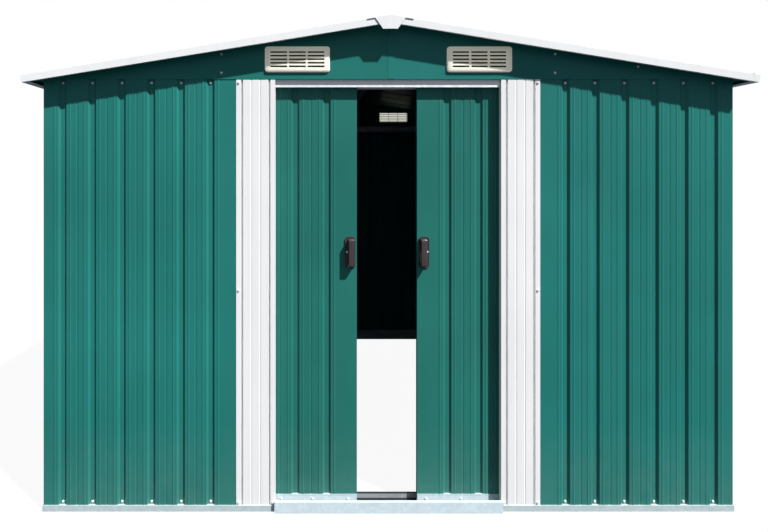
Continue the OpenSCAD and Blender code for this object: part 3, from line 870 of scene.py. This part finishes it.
class SHED_OT_handles(bpy.types.Operator):
    """Model the two pull handles, with their base plates and screws"""

    bl_idname = "shed.handles"
    bl_label = "Door Handles"

    def execute(self, context):
        settings = context.scene.shed_handles
        screws = context.scene.shed_screws
        middle = (handle_low + handle_high) / 2
        half_w, half_h = (handle_high.x - handle_low.x) / 2, (handle_high.z - handle_low.z) / 2
        face_y = handle_high.y - settings.plate_thickness
        offset, margin = 0.004, 0.0075  # The grip is off the middle, the screws near the edges
        for word, side in SIDES.items():
            x = side * middle.x
            plate = model_plate(f"pull_handle_{word}", x, face_y, middle, half_w, half_h)
            grip = model_grip(x - side * offset, face_y, middle, settings)
            handle = join(f"pull_handle_{word}", [plate, grip])
            settle(handle)
            fit(handle, materials["handle_plastic"], f"door_{word}")
            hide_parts(f"door_handle_{word}")

            # The screws have no washers, so their heads are moved back into the dish.
            head, washer = model_screw(screws)
            bpy.data.objects.remove(washer)
            places = (Vector((x + side * (half_w - margin), face_y + DISH_DEPTH,
                              middle.z + 0.002)),
                      Vector((x + side * offset, face_y + DISH_DEPTH,
                              middle.z - half_h + margin)))
            sink = Vector((0, screws.washer_thickness * 0.9, 0))
            turned = [facing(point + sink, (0, -1, 0), i) for i, point in enumerate(places)]
            heads = copies_at(f"pull_handle_{word}_screws", head, turned)
            fit(heads, materials["screw_steel"], f"door_{word}")
            bpy.data.objects.remove(head)
        return {"FINISHED"}


def model_vent(name, low, high, settings):
    """A front vent between two corners: a stepped frame with slots, and sloping blades."""
    middle = (low + high) / 2
    depth = high.y - low.y
    frame_block = add_block(name, (low.x, low.y + settings.rim, low.z), high)
    edit(frame_block)
    pick_edges(frame_block, lambda a, b: abs(a.y - b.y) > depth * 0.3)
    bpy.ops.mesh.bevel(offset=settings.corner_radius, segments=5, affect="EDGES")
    pick_faces(frame_block, lambda centre, normal: normal.y < -0.9)
    bpy.ops.mesh.inset(thickness=settings.rim)
    bpy.ops.mesh.extrude_region_move(
        TRANSFORM_OT_translate={"value": (0, -settings.rim, 0)})
    bpy.ops.mesh.bevel(offset=0.0012, segments=2, affect="EDGES")
    done()

    field_w = settings.columns * settings.slot_width + (settings.columns - 1) * settings.slot_gap
    field_h = (settings.rows - 1) * settings.slot_pitch + settings.slot_height
    clear = 0.002  # How far the cutter stands out in front of the vent and behind it
    first = Vector((middle.x - field_w / 2, low.y - clear, middle.z - field_h / 2))
    slot_block = add_block("slot", first, first + Vector(
        (settings.slot_width, depth + 2 * clear, settings.slot_height)))
    edit(slot_block)
    pick_edges(slot_block, lambda a, b: abs(a.y - b.y) > depth * 0.5)
    bpy.ops.mesh.bevel(offset=0.0014, segments=2, affect="EDGES")
    done()
    for count, step in ((settings.columns, (settings.slot_width + settings.slot_gap, 0, 0)),
                        (settings.rows, (0, 0, settings.slot_pitch))):
        apply_modifier(slot_block, "ARRAY", count=count, use_relative_offset=False,
                       use_constant_offset=True, constant_offset_displace=step)
    carve(frame_block, slot_block)
    soften(frame_block, 0.0005, 1, 40)

    half_l, half_w, half_t = field_w / 2 + 0.002, 0.0044, 0.0005
    blade = add_block("blade", (-half_l, -half_w, -half_t), (half_l, half_w, half_t))
    edit(blade)
    pick_edges(blade, lambda a, b: abs(a.x - b.x) > 0.01 and a.y < 0)
    bpy.ops.mesh.bevel(offset=0.0003, segments=1, affect="EDGES")
    done()
    drop = 0.0040  # From the middle of a slot to the middle of its blade
    blade.matrix_world = (
        Matrix.Translation((middle.x, high.y + half_t, first.z + settings.slot_height / 2 - drop))
        @ Matrix.Rotation(settings.blade_angle, 4, "X"))
    settle(blade)
    apply_modifier(blade, "ARRAY", count=settings.rows, use_relative_offset=False,
                   use_constant_offset=True,
                   constant_offset_displace=(0, 0, settings.slot_pitch))
    vent = join(name, [frame_block, blade])
    settle(vent)
    return vent


class SHED_OT_vents(bpy.types.Operator):
    """Model the gable vents, with their slots and sloping blades"""

    bl_idname = "shed.vents"
    bl_label = "Gable Vents"

    def execute(self, context):
        settings = context.scene.shed_vents
        rear = []
        half_turn = Matrix.Rotation(math.pi, 4, "Z")
        for word in SIDES:
            low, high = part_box(f"vent_front_{word}")
            vent = model_vent(f"gable_vent_{word}", low, high, settings)
            copy = vent.copy()
            copy.data = vent.data.copy()
            bpy.context.collection.objects.link(copy)
            copy.matrix_world = half_turn
            settle(copy)
            rear.append(copy)
            fit(vent, materials["vent_plastic"], "root")
            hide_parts(f"vent_front_{word}")
        pair = join("rear_gable_vents", rear)
        settle(pair)
        fit(pair, materials["vent_plastic"], "root")
        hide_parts("vents_rear")
        return {"FINISHED"}


# ---------- Small trims ----------


class SHED_OT_roof_tabs(bpy.types.Operator):
    """Fold the corner tab of the right eave and lap the two sheets of each gable"""

    bl_idname = "shed.roof_tabs"
    bl_label = "Roof Tabs"

    def execute(self, context):
        settings = context.scene.shed_screws
        eave = cad_high.x / math.cos(settings.roof_pitch)
        tab_inset, tab_start = 0.0195, -0.0100  # From the eave, and from the sheet's underside
        foot, _ = on_roof(1, eave - tab_inset, 0, tab_start, settings)
        tab = add_block("eave_corner_tab_right", (-0.0006, 0.0, 0.0), (0.0006, 0.012, 0.0265))
        edit(tab)
        pick_faces(tab, lambda centre, normal: normal.z > 0.9)
        bpy.ops.mesh.extrude_region_move(
            TRANSFORM_OT_translate={"value": (0.0008, 0, 0.0016)})
        done()
        soften(tab, 0.0003, 1, 30)
        tab.matrix_world = Matrix.Translation((foot.x, trim_low.y, foot.z))
        settle(tab)
        fit(tab, materials["trim_paint"], "root")

        # The edge of one gable sheet shows where it laps over the other.
        lap_left, lap_right, lap_t = -0.0015, 0.0215, 0.0008
        lap_foot, lap_top = 1.5615, gable_high.z - 0.006
        for word, end in (("front", -1), ("rear", 1)):
            face = end * GABLE_FACE
            outer = face + end * lap_t
            lap = add_block(f"gable_lap_{word}", (lap_left, min(face, outer), lap_foot),
                            (lap_right, max(face, outer), lap_top))
            edit(lap)
            pick_edges(lap, lambda a, b: abs(a.z - b.z) > 0.1
                       and abs(a.y - face) > 0.0005 and abs(b.y - face) > 0.0005)
            bpy.ops.mesh.bevel(offset=0.0005, segments=2, affect="EDGES")
            done()
            settle(lap)
            fit(lap, materials["gable_paint_right"], "root")
        return {"FINISHED"}


# ---------- Stage ----------


def show_by_ray(nodes, links, seen, hidden, output):
    """Shows one shader to the camera, and the other to all rays of light."""
    rays, mix = nodes.new("ShaderNodeLightPath"), nodes.new("ShaderNodeMixShader")
    links.new(rays.outputs["Is Camera Ray"], mix.inputs["Fac"])
    links.new(hidden.outputs[0], mix.inputs[1])
    links.new(seen.outputs[0], mix.inputs[2])
    links.new(mix.outputs[0], output.inputs["Surface"])


def stage_floor(settings):
    """A plain pale floor that a shadow hardly darkens."""
    deselect_all()
    bpy.ops.mesh.primitive_plane_add(size=settings.floor_size, location=(0, 0, -0.0005))
    floor = bpy.context.object
    floor.name = "floor"
    material = bpy.data.materials.new("pale_floor")
    material.use_nodes = True
    nodes, links = material.node_tree.nodes, material.node_tree.links
    nodes.clear()
    seen, bounced = nodes.new("ShaderNodeAddShader"), nodes.new("ShaderNodeBsdfDiffuse")
    glow, matt = nodes.new("ShaderNodeEmission"), nodes.new("ShaderNodeBsdfDiffuse")
    glow.inputs["Color"].default_value = (1, 1, 1, 1)
    glow.inputs["Strength"].default_value = 0.94
    matt.inputs["Color"].default_value = (0.05, 0.05, 0.05, 1)
    bounced.inputs["Color"].default_value = (0.07, 0.07, 0.085, 1)
    links.new(glow.outputs[0], seen.inputs[0])
    links.new(matt.outputs[0], seen.inputs[1])
    show_by_ray(nodes, links, seen, bounced, nodes.new("ShaderNodeOutputMaterial"))
    floor.data.materials.append(material)


def stage_sky(settings):
    """White behind the shed, and a soft sky for its light."""
    world = bpy.data.worlds.new("studio")
    bpy.context.scene.world = world
    world.use_nodes = True
    nodes, links = world.node_tree.nodes, world.node_tree.links
    nodes.clear()
    plain, soft = nodes.new("ShaderNodeBackground"), nodes.new("ShaderNodeBackground")
    plain.inputs["Color"].default_value = (1, 1, 1, 1)
    soft.inputs["Color"].default_value = (0.86, 0.96, 1.10, 1)
    soft.inputs["Strength"].default_value = settings.sky_strength
    show_by_ray(nodes, links, plain, soft, nodes.new("ShaderNodeOutputWorld"))


class SHED_OT_stage(bpy.types.Operator):
    """Set up the floor, the light and the camera"""

    bl_idname = "shed.stage"
    bl_label = "Stage"

    def execute(self, context):
        settings = context.scene.shed_stage
        stage_floor(settings)
        stage_sky(settings)
        deselect_all()
        bpy.ops.object.light_add(type="SUN", location=(2.5, -4.0, 6.0))
        sun = context.object
        sun.name = "key_light"
        sun.rotation_euler = Vector(settings.sun_way).to_track_quat("-Z", "Y").to_euler()
        sun.data.energy = settings.sun_strength
        sun.data.angle = math.radians(1.6)
        sun.data.color = (1.0, 0.985, 0.96)
        deselect_all()
        bpy.ops.object.camera_add(
            location=settings.camera_place, rotation=(math.radians(90), 0, 0))
        camera = context.object
        camera.name = "front_camera"
        camera.data.lens = settings.lens
        camera.data.sensor_width = 36.0
        camera.data.shift_x, camera.data.shift_y = settings.shift
        camera.data.clip_end = 400
        camera.data.dof.use_dof = False
        context.scene.camera = camera
        context.scene.view_settings.view_transform = "Standard"
        context.scene.view_settings.look = "None"
        return {"FINISHED"}


# ---------- Panel ----------

OPERATORS = (
    SHED_OT_finishes, SHED_OT_wall_screws, SHED_OT_front_screws, SHED_OT_roof_screws,
    SHED_OT_door_screws, SHED_OT_track_shade_strips, SHED_OT_handles, SHED_OT_vents,
    SHED_OT_roof_tabs, SHED_OT_stage,
)
SETTINGS = {
    "shed_finish": ShedFinishSettings, "shed_screws": ShedScrewSettings,
    "shed_handles": ShedHandleSettings, "shed_vents": ShedVentSettings,
    "shed_stage": ShedStageSettings,
}


class SHED_PT_panel(bpy.types.Panel):
    """Steps and sizes of the shed"""

    bl_idname = "SHED_PT_panel"
    bl_label = "Metal Storage Shed"
    bl_space_type = "VIEW_3D"
    bl_region_type = "UI"
    bl_category = "Shed"

    def draw(self, context):
        for operator in OPERATORS:
            self.layout.operator(operator.bl_idname)
        for name, settings in SETTINGS.items():
            box = self.layout.box()
            box.label(text=settings.__doc__)
            for key in settings.__annotations__:
                box.prop(getattr(context.scene, name), key)


def register():
    for settings in SETTINGS.values():
        bpy.utils.register_class(settings)
    for name, settings in SETTINGS.items():
        setattr(bpy.types.Scene, name, PointerProperty(type=settings))
    for operator in OPERATORS:
        bpy.utils.register_class(operator)
    bpy.utils.register_class(SHED_PT_panel)


def unregister():
    bpy.utils.unregister_class(SHED_PT_panel)
    for operator in reversed(OPERATORS):
        bpy.utils.unregister_class(operator)
    for name in SETTINGS:
        delattr(bpy.types.Scene, name)
    for settings in reversed(SETTINGS.values()):
        bpy.utils.unregister_class(settings)


def main():
    """Registers the add-on and builds every piece in order."""
    register()
    bpy.ops.shed.finishes()
    bpy.ops.shed.wall_screws()
    bpy.ops.shed.front_screws()
    bpy.ops.shed.roof_screws()
    bpy.ops.shed.door_screws()
    bpy.ops.shed.track_rubber()
    bpy.ops.shed.handles()
    bpy.ops.shed.vents()
    bpy.ops.shed.roof_tabs()
    bpy.ops.shed.stage()


if __name__ == "__main__":
    main()
